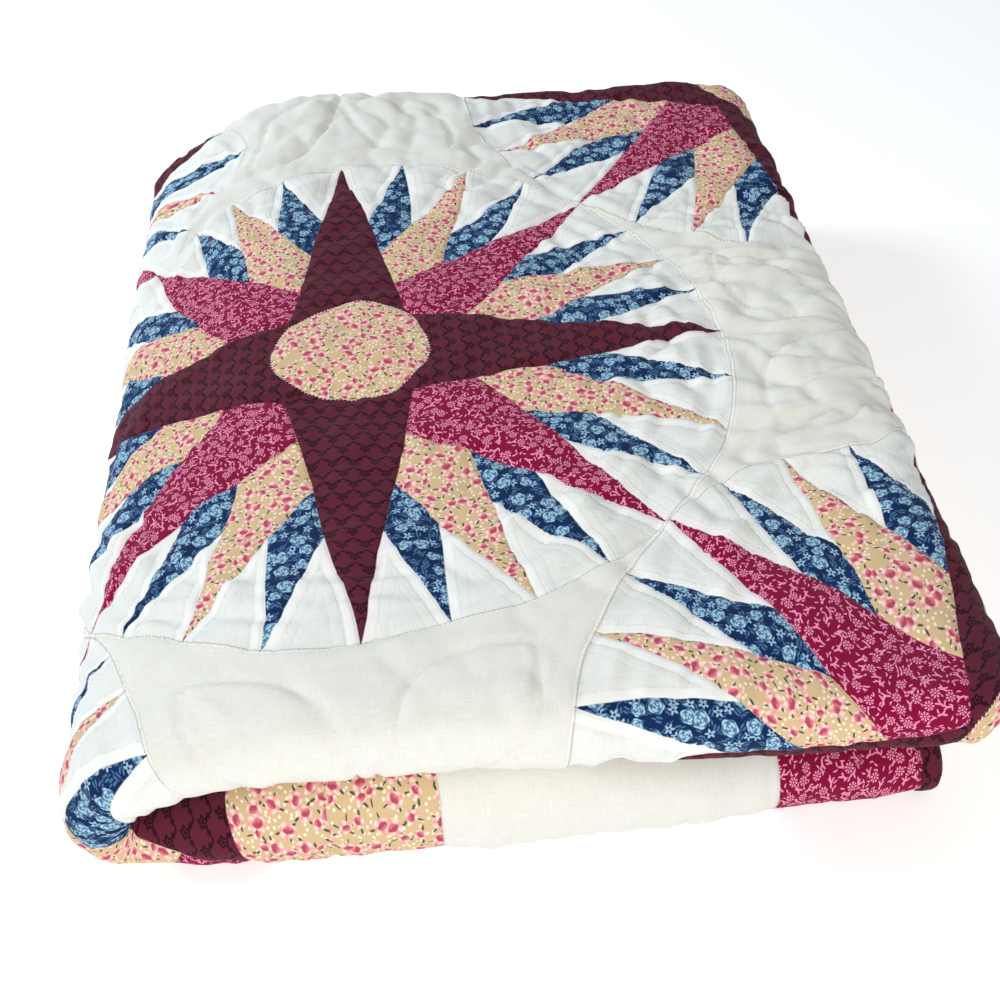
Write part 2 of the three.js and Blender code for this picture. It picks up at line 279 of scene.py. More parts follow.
PUFF = 1.9
PUFF_REACH = 7.0
PRINT_SHARE = 0.5  # printed patches crease less than the cream ones
CIRCLE_RIDGE = (0.9, 1.0, 2.4)  # height, distance outside the circle, width
ECHO_SPACING = 6.5
ECHO_DEPTHS = (1.3, 0.6)  # of the first quilted line along a ray's edge, and the next
ECHO_WIDTH = 1.9
TENSION_LENGTH = 29.0  # over which the thread is drawn tighter or looser
LEAF_TURN = math.pi / 4
LEAVES = 4
LEAF_LENGTH = 128.0
LEAF_HALF_WIDTH = 33.0
LEAF_DEPTH = 2.3
LEAF_RISE = 0.4  # share of the depth
LEAF_SHOULDER = 8.0  # inside a leaf's line, where the rise is full
LEAF_LINE = 2.1
LEAF_FADE = 12.0
GATHERS = ((13, 1.3, 11), (24, 5.4, 12))  # length, height, seed
WAVES = ((46, 1.9, 13), (115, 2.4, 14))
CREASE_MIDDLE = 0.4  # the creases' level that stays at the sheet's own height
RAY_GATHER = (7.5, 22.0, 2.3)  # length along the rays, width across them, height
GATHER_RADIUS = 0.6  # share of the star's radius at which that width is true
RAY_GATHER_SHARES = (1.0, 0.25, 0.5)  # between the rays, in the diamonds, elsewhere
TAUT_FROM = -190.0  # along, from where the cloth is drawn tighter over the front roll
TAUT_FADE = 60.0
TAUT_LOSS = 0.6
RIPPLE = (11.5, 42.0, 7.0)  # length along the quilt, width across it, height
RIPPLED_FROM = 185.0  # across
RIPPLED_ALONG = (-200.0, 330.0)
RIPPLED_FADE = 90.0
RIPPLE_BEND = (45.0, 10.0)  # length, most distance
RIPPLE_SLANT = 0.15
VISIBLE_ACROSS = (-270.0, 390.0)
VISIBLE_ALONG = (-385.0, 400.0)
FRONT_ROLL_ALONG = (-385.0, -285.0)
FRONT_ROLL_OVERLAP = 20.0
FRONT_ROLL_FADE = 15.0
FADE = 45.0


def leaf_half_width(share):
    """Half of a leaf's width at a share of its length: widest past the middle."""
    return LEAF_HALF_WIDTH * np.sin(math.pi * share) ** 0.8 * (0.6 + 0.7 * share)


def leaves(p, q):
    """Quilted leaves round the middle of each cream diamond: raised inside, with a trough round them."""
    m = np.round((p / STAR_PITCH + q / STAR_PITCH - 1) / 2)
    n = np.round((p / STAR_PITCH - q / STAR_PITCH - 1) / 2)
    x, y = p - (m + n + 1) * STAR_PITCH, q - (m - n) * STAR_PITCH
    spacing = 2 * math.pi / LEAVES
    angle = np.arctan2(y, x) - LEAF_TURN
    off = angle - spacing * np.round(angle / spacing)
    along = np.hypot(x, y) * np.cos(off)
    across = np.abs(np.hypot(x, y) * np.sin(off))
    share = np.clip(along / LEAF_LENGTH, 0, 1)
    edge = across - leaf_half_width(share)
    trough = np.exp(-(edge / LEAF_LINE) ** 2) * (share < 1)
    return LEAF_DEPTH * (LEAF_RISE * smooth(-edge / LEAF_SHOULDER) - trough)


def within(places, span, fade):
    """1 inside a span and 0 outside it, eased inside each end."""
    return smooth((places - span[0]) / fade) * smooth((span[1] - places) / fade)


def relief(across, along):
    """Height of the face over the sheet: puffed between seams and quilting lines, gathered and creased."""
    p, q = as_sewn(across, along)
    nearest, to_ray, wedge, diamond, radius, angle = seams(p, q)
    cream = np.where(wedge | diamond, 1.0, PRINT_SHARE)
    height = PUFF * (1 - np.exp(-nearest / PUFF_REACH))
    most, outside, width = CIRCLE_RIDGE
    height += most * np.exp(-(((radius - STAR_RADIUS - outside) / width) ** 2))
    drawn_up = 0.7 + 0.6 * unevenness(across, along, TENSION_LENGTH, 16)
    for line, depth in enumerate(ECHO_DEPTHS):
        trough = np.exp(-(((to_ray - (line + 1) * ECHO_SPACING) / ECHO_WIDTH) ** 2))
        height -= np.where(wedge, depth * drawn_up * trough, 0)
    # The quilting thread draws the cloth up: short gathers across the rays, and creases that run anywhere.
    length, width, most = RAY_GATHER
    round_star = angle * (GATHER_RADIUS * STAR_RADIUS)
    gathers = unevenness(radius, round_star * length / width, length, 17)
    in_wedge, in_diamond, elsewhere = RAY_GATHER_SHARES
    height += most * gathers * np.where(wedge, in_wedge, np.where(diamond, in_diamond, elsewhere))
    height += np.where(diamond, leaves(p, q) * smooth(nearest / LEAF_FADE), 0)
    slack = 1 - TAUT_LOSS * smooth((TAUT_FROM - along) / TAUT_FADE)
    for length, most, seed in GATHERS:
        warp = 0.5 * length * unevenness(across, along, 2.5 * length, seed + 30)
        creases = np.abs(unevenness(across + warp, along - warp, length, seed))
        height += most * cream * slack * (creases - CREASE_MIDDLE)
    for length, most, seed in WAVES:
        height += most * unevenness(across, along, length, seed)
    # Crosswise ripples gather where the right-hand side turns over the fold.
    length, width, most = RIPPLE
    rippled = smooth((across - RIPPLED_FROM) / RIPPLED_FADE) * within(along, RIPPLED_ALONG, RIPPLED_FADE)
    bend_length, most_bend = RIPPLE_BEND
    warp = most_bend * unevenness(across, along, bend_length, 21)
    leaned = along + warp + RIPPLE_SLANT * across
    ripples = np.abs(unevenness((across + warp) * length / width, leaned, length, 22))
    height += most * rippled * cream * (ripples - CREASE_MIDDLE)
    shown = within(across, VISIBLE_ACROSS, FADE) * within(along, VISIBLE_ALONG, FADE)
    beside = smooth((VISIBLE_ACROSS[0] + FRONT_ROLL_OVERLAP - across) / FADE)
    low_front = beside * smooth((along - FRONT_ROLL_ALONG[0]) / FADE) \
        * smooth((FRONT_ROLL_ALONG[1] - along) / FRONT_ROLL_FADE)
    return height * np.maximum(shown, low_front)


def face_points(across, along, lift=0.0):
    """Points of the upper face; where it lies on the floor, the floor presses it flat."""
    across, along = np.asarray(across, float), np.asarray(along, float)
    points = fold(across, along, THICKNESS / 2 + relief(across, along) + lift)
    points[:, 2] = np.maximum(points[:, 2], 0)
    return points


FINE = 3


def lines(start, spans):
    """Places from start on, through spans of (end, steps)."""
    places = [start]
    for end, steps in spans:
        places.extend(np.linspace(places[-1], end, steps + 1)[1:])
    return np.array(places)


def split(places, parts):
    """The places with each gap between them cut into equal parts."""
    count = len(places)
    return np.interp(np.arange(parts * (count - 1) + 1) / parts, np.arange(count), places)


SHEET_HALF_WIDTH = HALF_WIDTH - BINDING_WIDTH
SHEET_HALF_LENGTH = HALF_LENGTH - BINDING_WIDTH
ROLLS_END = 470.0  # along, where the end rolls have turned under and the cells grow large
ACROSS_LINES = lines(-SHEET_HALF_WIDTH, [
    (VISIBLE_ACROSS[0], 28), (VISIBLE_ACROSS[1], 79), (SHEET_HALF_WIDTH, 11)])
ALONG_LINES = lines(-SHEET_HALF_LENGTH, [
    (-ROLLS_END, 12), (VISIBLE_ALONG[0], 8), (VISIBLE_ALONG[1], 95), (ROLLS_END, 7), (SHEET_HALF_LENGTH, 12)])


def sheet_mesh():
    """A closed sheet: its face in small cells where it shows, its back in large cells, and a rim between."""
    columns, rows = len(ACROSS_LINES) - 1, len(ALONG_LINES) - 1
    middle_p = (ACROSS_LINES[:-1] + ACROSS_LINES[1:]) / 2
    middle_q = (ALONG_LINES[:-1] + ALONG_LINES[1:]) / 2
    in_span = lambda v, span: (v > span[0]) & (v < span[1])
    fine = np.outer(in_span(middle_p, VISIBLE_ACROSS), in_span(middle_q, VISIBLE_ALONG))
    fine |= np.outer(middle_p < VISIBLE_ACROSS[0], in_span(middle_q, FRONT_ROLL_ALONG))
    small_p, small_q = split(ACROSS_LINES, FINE), split(ALONG_LINES, FINE)
    needed = np.zeros((len(small_p), len(small_q)), bool)
    needed[::FINE, ::FINE] = True
    for i, j in np.argwhere(fine):
        needed[FINE * i:FINE * i + FINE + 1, FINE * j:FINE * j + FINE + 1] = True
    face = np.full(needed.shape, -1)
    face[needed] = np.arange(needed.sum())
    at = np.argwhere(needed)
    flat = np.stack([small_p[at[:, 0]], small_q[at[:, 1]]], -1)
    corner_p, corner_q = (v.ravel() for v in np.meshgrid(ACROSS_LINES, ALONG_LINES, indexing="ij"))
    back = np.arange(corner_p.size).reshape(columns + 1, rows + 1) + len(flat)
    points = np.concatenate([face_points(flat[:, 0], flat[:, 1]), fold(corner_p, corner_q, -THICKNESS / 2)])
    flat = np.concatenate([flat, np.stack([corner_p, corner_q], -1)])

    def side(i, j, di, dj, refined):
        """Face points from one corner of a cell towards the next, the last one left out."""
        steps = range(FINE) if refined else (0,)
        return [int(face[FINE * i + di * k, FINE * j + dj * k]) for k in steps]

    is_fine = lambda i, j: 0 <= i < columns and 0 <= j < rows and fine[i, j]
    faces = []
    for i in range(columns):
        for j in range(rows):
            if fine[i, j]:
                for a in range(FINE * i, FINE * i + FINE):
                    for b in range(FINE * j, FINE * j + FINE):
                        faces.append((face[a, b], face[a + 1, b], face[a + 1, b + 1], face[a, b + 1]))
            else:
                faces.append(side(i, j, 1, 0, is_fine(i, j - 1))
                             + side(i + 1, j, 0, 1, is_fine(i + 1, j))
                             + side(i + 1, j + 1, -1, 0, is_fine(i, j + 1))
                             + side(i, j + 1, 0, -1, is_fine(i - 1, j)))
    top_faces = len(faces)
    for i in range(columns):
        for j in range(rows):
            faces.append((back[i, j], back[i, j + 1], back[i + 1, j + 1], back[i + 1, j]))

    def rim(i, j, di, dj, cell):
        edge = side(i, j, di, dj, is_fine(*cell)) + [face[FINE * (i + di), FINE * (j + dj)]]
        faces.append([back[i, j], back[i + di, j + dj]] + edge[::-1])

    for i in range(columns):
        rim(i, 0, 1, 0, (i, 0))
        rim(i + 1, rows, -1, 0, (i, rows - 1))
    for j in range(rows):
        rim(columns, j, 0, 1, (columns - 1, j))
        rim(0, j + 1, 0, -1, (0, j))
    faces = [[int(v) for v in corners] for corners in faces]
    return points, faces, top_faces, np.stack(as_sewn(flat[:, 0], flat[:, 1]), -1)


def cloth_object(name, points, faces, flat, materials):
    """A smooth mesh object whose UV map holds its place on the flat cloth, in metres."""
    mesh = bpy.data.meshes.new(name)
    mesh.from_pydata(points.tolist(), [], faces)
    corners = np.zeros(len(mesh.loops), int)
    mesh.loops.foreach_get("vertex_index", corners)
    mesh.uv_layers.new(name="flat").data.foreach_set("uv", (flat[corners] * MM).astype(np.float32).ravel())
    mesh.polygons.foreach_set("use_smooth", np.ones(len(mesh.polygons), bool))
    for material in materials:
        mesh.materials.append(material)
    made = bpy.data.objects.new(name, mesh)
    bpy.context.scene.collection.objects.link(made)
    return made


def math_method(operation, reflected=False):
    """A method of a socket that adds one Math node; reflected, it has the socket as the second value."""
    if reflected:
        return lambda self, other: self.math(operation, other, self)
    return lambda self, *other: self.math(operation, self, *other)


class Socket:
    """A node socket that does arithmetic: each operator adds one Math node to the socket's tree."""

    def __init__(self, tree, socket=None):
        self.tree = tree
        self.socket = socket

    def node(self, kind, settings, sockets, output=0):
        made = self.tree.nodes.new(kind)
        for name, value in settings.items():
            setattr(made, name, value)
        for key, value in sockets.items():
            if isinstance(value, Socket):
                self.tree.links.new(value.socket, made.inputs[key])
            else:
                made.inputs[key].default_value = value
        return Socket(self.tree, None if output is None else made.outputs[output])

    def beside(self, output):
        """Another output of the same node."""
        return Socket(self.tree, self.socket.node.outputs[output])

    def math(self, operation, *values):
        return self.node("ShaderNodeMath", {"operation": operation}, dict(enumerate(values)))

    __add__, __radd__ = math_method("ADD"), math_method("ADD", reflected=True)
    __sub__, __rsub__ = math_method("SUBTRACT"), math_method("SUBTRACT", reflected=True)
    __mul__, __rmul__ = math_method("MULTIPLY"), math_method("MULTIPLY", reflected=True)
    __truediv__, __rtruediv__ = math_method("DIVIDE"), math_method("DIVIDE", reflected=True)
    __lt__, __gt__ = math_method("LESS_THAN"), math_method("GREATER_THAN")
    __abs__, round, floor = math_method("ABSOLUTE"), math_method("ROUND"), math_method("FLOOR")
    sin, cos = math_method("SINE"), math_method("COSINE")
    least, most = math_method("MINIMUM"), math_method("MAXIMUM")

    def reach(self, other):
        return self.math("SQRT", self * self + other * other)

    def angle(self, other):
        """Angle of the point (self, other)."""
        return self.math("ARCTAN2", other, self)

    def ramp(self, low, high):
        """0 below low, 1 above high, and smooth between; low may be the larger."""
        return self.node("ShaderNodeMapRange", {"interpolation_type": "SMOOTHSTEP"},
                         {"Value": self, "From Min": low, "From Max": high, "To Min": 0.0, "To Max": 1.0})

    def over(self, under, colour):
        """The colour where this mask is 1, on the colour under it."""
        return self.node("ShaderNodeMix", {"data_type": "RGBA"}, {0: self, 6: under, 7: colour}, output=2)

    def mixed(self, under, shader):
        """The shader where this mask is 1, and the one under it elsewhere."""
        return self.node("ShaderNodeMixShader", {}, {0: self, 1: under, 2: shader})

    def part(self, axis):
        return self.node("ShaderNodeSeparateXYZ", {}, {0: self}, output=axis)


def dyed(red, green, blue):
    """A cloth colour given as screen values."""
    linear = [c / 12.92 if c <= 0.04045 else ((c + 0.055) / 1.055) ** 2.4
              for c in (red / 255, green / 255, blue / 255)]
    return (*linear, 1.0)


LAYER_STEP = (7.31, 3.77)  # keeps the small, middle and large motifs from sharing their places


def sprigs(x, y, size, jitter, seed):
    """Motifs scattered over a print, about size mm apart: place inside the motif, its distance and angle from
    the motif's middle with a random turn, and a chance value for each motif."""
    step_x, step_y = LAYER_STEP
    point = x.node("ShaderNodeCombineXYZ", {}, {0: x / size + step_x * seed, 1: y / size + step_y * seed})
    middle = x.node("ShaderNodeTexVoronoi", {"voronoi_dimensions": "2D", "feature": "F1"},
                    {"Vector": point, "Scale": 1.0, "Randomness": jitter}, output="Position")
    chances = middle.beside("Color")
    offset = x.node("ShaderNodeVectorMath", {"operation": "SUBTRACT"}, {0: point, 1: middle})
    across, up = offset.part(0) * size, offset.part(1) * size
    chance = chances.part(0)
    turn = chances.part(1) * (2 * math.pi)
    away = across.reach(up)
    angle = across.angle(up) + turn
    return away * angle.cos(), away * angle.sin(), away, angle, chance


def spot(x, y, half_length, half_width):
    """Mask of an oval in the middle of a motif."""
    return (x / half_length).reach(y / half_width).ramp(1.1, 0.8)


def rose_petals(away, angle, size):
    """Light and dark of a printed rose: rings of three petals, each turned from the last."""
    place = away / (size * 0.36)
    ring = place.floor()
    return (angle * 3.0 + ring * 1.9).sin().ramp(-0.9, 0.5) * (place - ring).ramp(0.02, 0.35)


# How far apart the small, middle and large motifs of each print lie, in mm.
MOTIFS = {"navy": (5.4, 8.0, 13.5), "tan": (10.5, 10.4, 13.5), "raspberry": (3.9, 7.4, 8.2)}
JITTERS = (0.9, 0.8, 0.75)


def tan_calico(small, middle, _):
    """Tan cotton with pale roses that have raspberry hearts, grey-green leaves and strings of cream dots."""
    _, _, away, angle, _ = small
    dots = abs(away - 4.0).ramp(0.9, 0.5) * (angle * 8.0).sin().ramp(-0.2, 0.3)
    colour = (dots * 0.85).over(dyed(211, 184, 143), dyed(252, 240, 222))
    u, v, away, angle, chance = middle
    leafy = spot(abs(u + v * 0.3) - 4.4, v - 1.3, 2.1, 0.7).most(spot(u - 0.5 - v * 0.3, v + 4.6, 0.5, 2.2))
    colour = (leafy * 0.95).over(colour, dyed(66, 76, 64))
    size = chance * 2.0 + 2.9
    ruffle = (angle * 4.0 + chance * 9.0).sin()
    outline = away / size + ruffle * 0.05 + (angle * 3.0).sin() * 0.07
    petals = (ruffle * 0.5 + 0.5).over(dyed(230, 156, 152), dyed(250, 220, 210))
    colour = outline.ramp(1.08, 0.9).over(colour, petals)
    heart = ((u - 0.6) / size + v * 0.06).reach(v * 1.1 / size).ramp(0.7, 0.46)
    lit = (angle + 0.7).sin().ramp(0.0, 0.9) * (away / size).ramp(0.1, 0.4)
    return (heart * 0.9).over(colour, (lit * 0.8).over(dyed(166, 38, 76), dyed(226, 116, 136)))


def navy_calico(small, middle, large):
    """Navy cotton with light-blue roses, small five-petalled flowers and leafy stems."""
    navy, middle_blue, light_blue = dyed(12, 40, 82), dyed(76, 114, 158), dyed(168, 206, 222)
    u, v, *_ = small
    leafy = spot(u - 0.9, abs(v) - 0.95, 1.8, 0.6).most(spot(u + 1.6, v, 1.5, 0.35))
    colour = (leafy * 0.9).over(navy, middle_blue)
    _, _, away, angle, chance = middle
    shown = chance.ramp(0.25, 0.29)
    five_petals = (away - (angle * 5.0).sin() * 0.9).ramp(2.2, 1.7) * shown
    colour = five_petals.over(colour, dyed(152, 188, 214))
    colour = (away.ramp(0.8, 0.5) * shown).over(colour, navy)
    _, _, away, angle, chance = large
    size = chance * 1.5 + 3.3
    rose = rose_petals(away, angle, size).over(dyed(70, 112, 154), light_blue)
    outline = away / size + (angle * 5.0).sin() * 0.08
    colour = (outline.ramp(1.26, 1.1) * 0.8).over(colour, navy)
    return outline.ramp(1.08, 0.92).over(colour, rose)


def raspberry_calico(small, middle, large):
    """Raspberry cotton with a dense pale-pink print of daisies, forked sprigs and dashes."""
    u, v, *_ = small
    marks = spot(u, v - u * u * 0.16, 1.35, 0.42)
    u, v, *_ = middle
    fork = abs(abs(v) - u.most(0.0) * 0.6).ramp(0.65, 0.3) * abs(u).ramp(2.6, 2.2)
    _, _, away, angle, chance = large
    daisy = abs(away - 1.75).ramp(0.95, 0.55) * (angle * 8.0).sin().ramp(-0.5, 0.1)
    daisy = daisy.most(away.ramp(0.65, 0.4))
    daisies = away.ramp(3.1, 3.0) * chance.ramp(0.35, 0.37)
    pink = marks.most(fork) * (1 - daisies) + daisies * daisy
    return (pink * 0.92).over(dyed(132, 8, 57), dyed(246, 156, 190))


def burgundy_calico(x, y):
    """Burgundy cotton with staggered rows of small flowers joined by garlands, in a darker outline."""
    row_height, spacing = 10.5, 13.0
    row = (x / row_height).round()
    shifted = y / spacing + row * 0.5
    u, v = (shifted - shifted.round()) * spacing, x - row * row_height
    garland = abs(v + 1.6 - (u * (2 * math.pi / spacing)).cos() * 2.2).ramp(0.8, 0.4) * abs(u).ramp(1.6, 2.2)
    away, angle = u.reach(v - 1.2), u.angle(v - 1.2)
    flower = abs(away - (angle * 5.0).sin() * 0.6 - 2.1).ramp(1.0, 0.55).most(away.ramp(1.0, 0.7))
    leafy = spot(abs(u) - 3.7, v + 2.0, 1.5, 1.3)
    return (garland.most(flower).most(leafy) * 0.9).over(dyed(93, 31, 51), dyed(34, 6, 18))


SLUB_LENGTH = 9.0
SLUB_WIDTH = 0.8


def slubs(x, y):
    """Thick and thin places in the threads of plain muslin, from 0 to 1."""
    across = x.node("ShaderNodeCombineXYZ", {}, {0: x / SLUB_LENGTH, 1: y / SLUB_WIDTH})
    along = x.node("ShaderNodeCombineXYZ", {}, {0: x / SLUB_WIDTH, 1: y / SLUB_LENGTH})
    settings = {"noise_dimensions": "2D"}
    warp = x.node("ShaderNodeTexNoise", settings, {"Vector": across, "Scale": 1.0, "Detail": 1.0})
    weft = x.node("ShaderNodeTexNoise", settings, {"Vector": along, "Scale": 1.0, "Detail": 1.0})
    return (warp + weft) * 0.5


def raised(height):
    """The normal of cloth with a relief given in mm."""
    return height.node("ShaderNodeBump", {}, {"Strength": 1.0, "Distance": MM, "Height": height})


def woven(colour, normal):
    """Matte cotton of that colour."""
    return normal.node("ShaderNodeBsdfPrincipled", {}, {
        "Base Color": colour, "Normal": normal, "Roughness": 0.92, "Specular IOR Level": 0.12,
        "Sheen Weight": 0.03, "Sheen Roughness": 0.6})


def cotton(name, build):
    """A cotton material; build makes its shader from the place on the flat cloth in mm."""
    material = bpy.data.materials.new(name)
    material.use_nodes = True
    material.node_tree.nodes.clear()
    place = Socket(material.node_tree).node("ShaderNodeUVMap", {"uv_map": "flat"}, {})
    shader = build(place.part(0) / MM, place.part(1) / MM)
    shader.node("ShaderNodeOutputMaterial", {}, {"Surface": shader}, output=None)
    return material


RAY_SHIFT = (37.0, 23.0)  # each ray and each star is cut from another place of its print
STAR_SHIFT = (61.0, 43.0)
DISC_TURN = (0.8, 0.6)  # cosine and sine
COVERED_EDGE = 1000.0  # farther than any edge that shows
SEAM_SHADE = 0.34
SEAM_ALLOWANCE = (5.0, 6.6)  # from a ray's edge: seen to here, and gone from there
DYE_BLEED = (6.0, 0.16)  # reach, share
MUSLIN = dyed(231, 231, 225)
WHITE_MUSLIN = dyed(232, 235, 233)
SLUB = dyed(202, 201, 193)


def patchwork(p, q):
    """The pieced top: stars of four tiers of rays and a disc on cream, and three border bands."""
    a, b, column, row = star_place(p, q)
    radius, angle = a.reach(b), a.angle(b)
    thread = slubs(p, q)
    beyond = (abs(p) - STAR_PITCH).most(abs(q) - 2 * STAR_PITCH)
    to_edge = (HALF_WIDTH - abs(p)).least(HALF_LENGTH - abs(q)) - BINDING_WIDTH
    field = beyond < 0.0
    disc_a, disc_b = a - DISC_SHIFT[0], b - DISC_SHIFT[1]
    disc_angle = disc_a.angle(disc_b)
    disc = CENTRE_DISC - disc_a.reach(disc_b)
    for waves, phase, height in DISC_WAVES:
        disc = disc + (disc_angle * float(waves) + phase).sin() * height
    circle = STAR_RADIUS - radius

    # The star is alike in each eighth of its circle, so one ray of a tier stands for all of them.
    turned = lambda along, across, by: (along * math.cos(by) + across * math.sin(by),
                                        abs(across * math.cos(by) - along * math.sin(by)))
    level = abs(a).most(abs(b)), abs(a).least(abs(b))
    eighth = turned(*level, math.pi / 8)
    rays = {"burgundy": turned(*level, math.pi / 4), "raspberry": level, "tan": eighth,
            "navy": turned(*eighth, math.pi / 16)}
    edges = {name: (1 - along / STAR_RADIUS) * RAY_BASE - across for name, (along, across) in rays.items()}

    # The ray's edge that shows nearest to a point: a ray hides the edges of the tiers under it.
    to_ray = abs(circle) + STAR_RADIUS
    covered = (disc > 0.0).most(circle < 0.0)
    for name in TIERS:
        to_ray = to_ray.least(abs(edges[name]) + covered * COVERED_EDGE)
        covered = covered.most(edges[name] > 0.0)
    ground = (1 - covered) * field

    # Seam allowances show through the muslin as a whiter band along each ray, and dye has bled a little.
    colour = (circle.ramp(-0.4, 0.4) * field).over(MUSLIN, WHITE_MUSLIN)
    colour = (thread * 0.8 - 0.24).over(colour, SLUB)
    band = to_ray.ramp(SEAM_ALLOWANCE[1], SEAM_ALLOWANCE[0])
    colour = (ground * band * 0.5).over(colour, dyed(249, 250, 249))
    bleed = edges["burgundy"].most(edges["raspberry"]).ramp(-DYE_BLEED[0], 0.0) * ground * DYE_BLEED[1]
    colour = bleed.over(colour, dyed(226, 150, 176))

    on_field = lambda distance: distance.ramp(-0.35, 0.35) * field
    choose = lambda where, there, elsewhere: where * there + (1 - where) * elsewhere
    on_disc = field * (disc > 0.0)
    tan_band = (1 - field) * (beyond < TAN_BAND)
    raspberry_band = (1 - field) * (to_edge < RASPBERRY_BAND)
    raspberry_here = raspberry_band.most(field * (edges["raspberry"] > 0.0) * (1 - on_disc))
    tan_here = tan_band.most(on_disc).most(field * (edges["tan"] > 0.0) * (1 - raspberry_here))

    # A point shows one print only, so the motifs are laid out once, along that print's own ray.
    by_print = lambda navy, tan, raspberry: choose(raspberry_here, raspberry, choose(tan_here, tan, navy))
    on_burgundy = edges["burgundy"] > 0.0
    under = [by_print(*values) for values in zip(*(TIERS[name] for name in MOTIFS))]
    ray_count, first = (choose(on_burgundy, top, low) for top, low in zip(TIERS["burgundy"], under))
    spacing = 2 * math.pi / ray_count
    turn = ((angle - first) / spacing).round()
    off = angle - first - turn * spacing
    x = radius * off.cos() + turn * RAY_SHIFT[0] + column * STAR_SHIFT[0]
    y = radius * off.sin() + turn * RAY_SHIFT[1] + row * STAR_SHIFT[1]
    x = choose(1 - field, q, choose(on_disc, p * DISC_TURN[0] + q * DISC_TURN[1], x))
    y = choose(1 - field, p, choose(on_disc, q * DISC_TURN[0] - p * DISC_TURN[1], y))
    motifs = [sprigs(x, y, by_print(*spacings), jitter, seed + 1)
              for seed, (jitter, spacings) in enumerate(zip(JITTERS, zip(*MOTIFS.values())))]
    border = abs(beyond).least(abs(beyond - TAN_BAND)).least(abs(to_edge - RASPBERRY_BAND))
    # Painted shade: a darker line just inside each star's circle, beside its raised cord, and along the seams
    # between the border bands.
    circle_shade = abs(circle - 1.3).ramp(0.7, 0.2) * field
    colour = (circle_shade.most(border.ramp(0.8, 0.3)) * SEAM_SHADE).over(colour, dyed(128, 114, 98))
    cord = abs(circle).ramp(1.3, 0.4) * field
    # Painted highlight: a lighter line along the crest of the raised cord round each star's circle.
    colour = (cord * 0.6).over(colour, dyed(247, 245, 238))
    seam = choose(field, to_ray.least(abs(disc)).least(abs(beyond)), border)
    echo = abs(to_ray - ECHO_SPACING).ramp(0.0, 1.6) + abs(to_ray - 2 * ECHO_SPACING).ramp(0.0, 1.6) * 0.5
    normal = raised(seam.ramp(0.0, 2.2) * 0.5 + echo * ground * 0.25 + cord * 0.4)

    # Each print is a cloth of its own, laid over the tiers under it; the disc lies on top of all the rays.
    off_disc = 1 - on_field(disc)
    tan_mask = on_field(edges["tan"]).most(field * (disc > -0.4)).most(tan_band)
    raspberry_mask = (on_field(edges["raspberry"]) * off_disc).most(raspberry_band)
    burgundy_mask = on_field(edges["burgundy"]) * off_disc
    printed = on_field(edges["navy"]).most(on_field(edges["tan"])).most(raspberry_mask).most(burgundy_mask)
    printed = printed.most(on_field(disc)).most(tan_band)
    prints = woven(navy_calico(*motifs), normal)
    prints = tan_mask.mixed(prints, woven(tan_calico(*motifs), normal))
    prints = raspberry_mask.mixed(prints, woven(raspberry_calico(*motifs), normal))
    prints = burgundy_mask.mixed(prints, woven(burgundy_calico(x, y), normal))
    return printed.mixed(woven(colour, normal), prints)


def plain_backing(p, q):
    thread = slubs(p, q)
    return woven((thread * 0.9 - 0.2).over(MUSLIN, SLUB), raised(thread * 0.15))


quilt_top = cotton("pieced_cotton_top", patchwork)
backing = cotton("muslin_backing", plain_backing)
points, faces, top_faces, flat = sheet_mesh()
quilt = cloth_object("quilt_sheet", points, faces, flat, [quilt_top, backing])
quilt.data.polygons.foreach_set("material_index", (np.arange(len(faces)) >= top_faces).astype(np.int32))
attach(quilt, "root")
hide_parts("quilt")


# The quilting thread
# White cotton thread. Running stitches go through all the layers, beside the rays and round the leaves.
# Slanted stitches sew the discs and the round frames of the stars down.
RUNNING = {"Spacing": 5.2 * MM, "Length": 3.0 * MM, "Thickness": 0.55 * MM, "Slant": 0.0}
SLANTED = {"Spacing": 2.7 * MM, "Length": 2.6 * MM, "Thickness": 0.5 * MM, "Slant": math.radians(52)}
STITCH_SIDES = 6
STITCH_RINGS = 4
STITCH_SWAY = 0.16  # radians to either side
STITCH_LENGTHS = (0.8, 1.2)  # shortest and longest, as a share
LINE_STEP = 2.0
STITCH_MARGIN = 5.0
LOWEST_STITCH = 4.0
SEWN_STARS = ((0, 0), (1, -1), (1, 1), (-1, 1), (-1, -1))  # middles, in star pitches
SEWN_DIAMONDS = ((0, -1), (0, 1), (1, 0), (-1, 0))


def on_sheet(p, q):
    """Place on the sheet of a point of the drawn pattern: the other way through as_sewn."""
    across, along = p, q
    for _ in range(8):
        sewn_p, sewn_q = as_sewn(across, along)
        across, along = across + p - sewn_p, along + q - sewn_q
    return across, along


def ray_lines():
    """Lines beside the rays' edges, each running in from a star's circle and out again between two rays."""
    half = math.pi / 32
    slope = RAY_BASE / STAR_RADIUS
    inmost = (RAY_BASE + ECHO_SPACING) / (math.sin(half) + slope * math.cos(half)) * math.cos(half)
    along = np.arange(STAR_RADIUS - 4, inmost, -LINE_STEP)
    off = np.arctan2((1 - along / STAR_RADIUS) * RAY_BASE + ECHO_SPACING, along)
    radius = along / np.cos(off)
    for column, row in SEWN_STARS:
        for ray in range(32):
            turn = ray * 2 * half
            angle = np.concatenate([turn + off, turn + 2 * half - off[::-1]])
            reach = np.concatenate([radius, radius[::-1]])
            yield column * STAR_PITCH + reach * np.cos(angle), row * STAR_PITCH + reach * np.sin(angle)


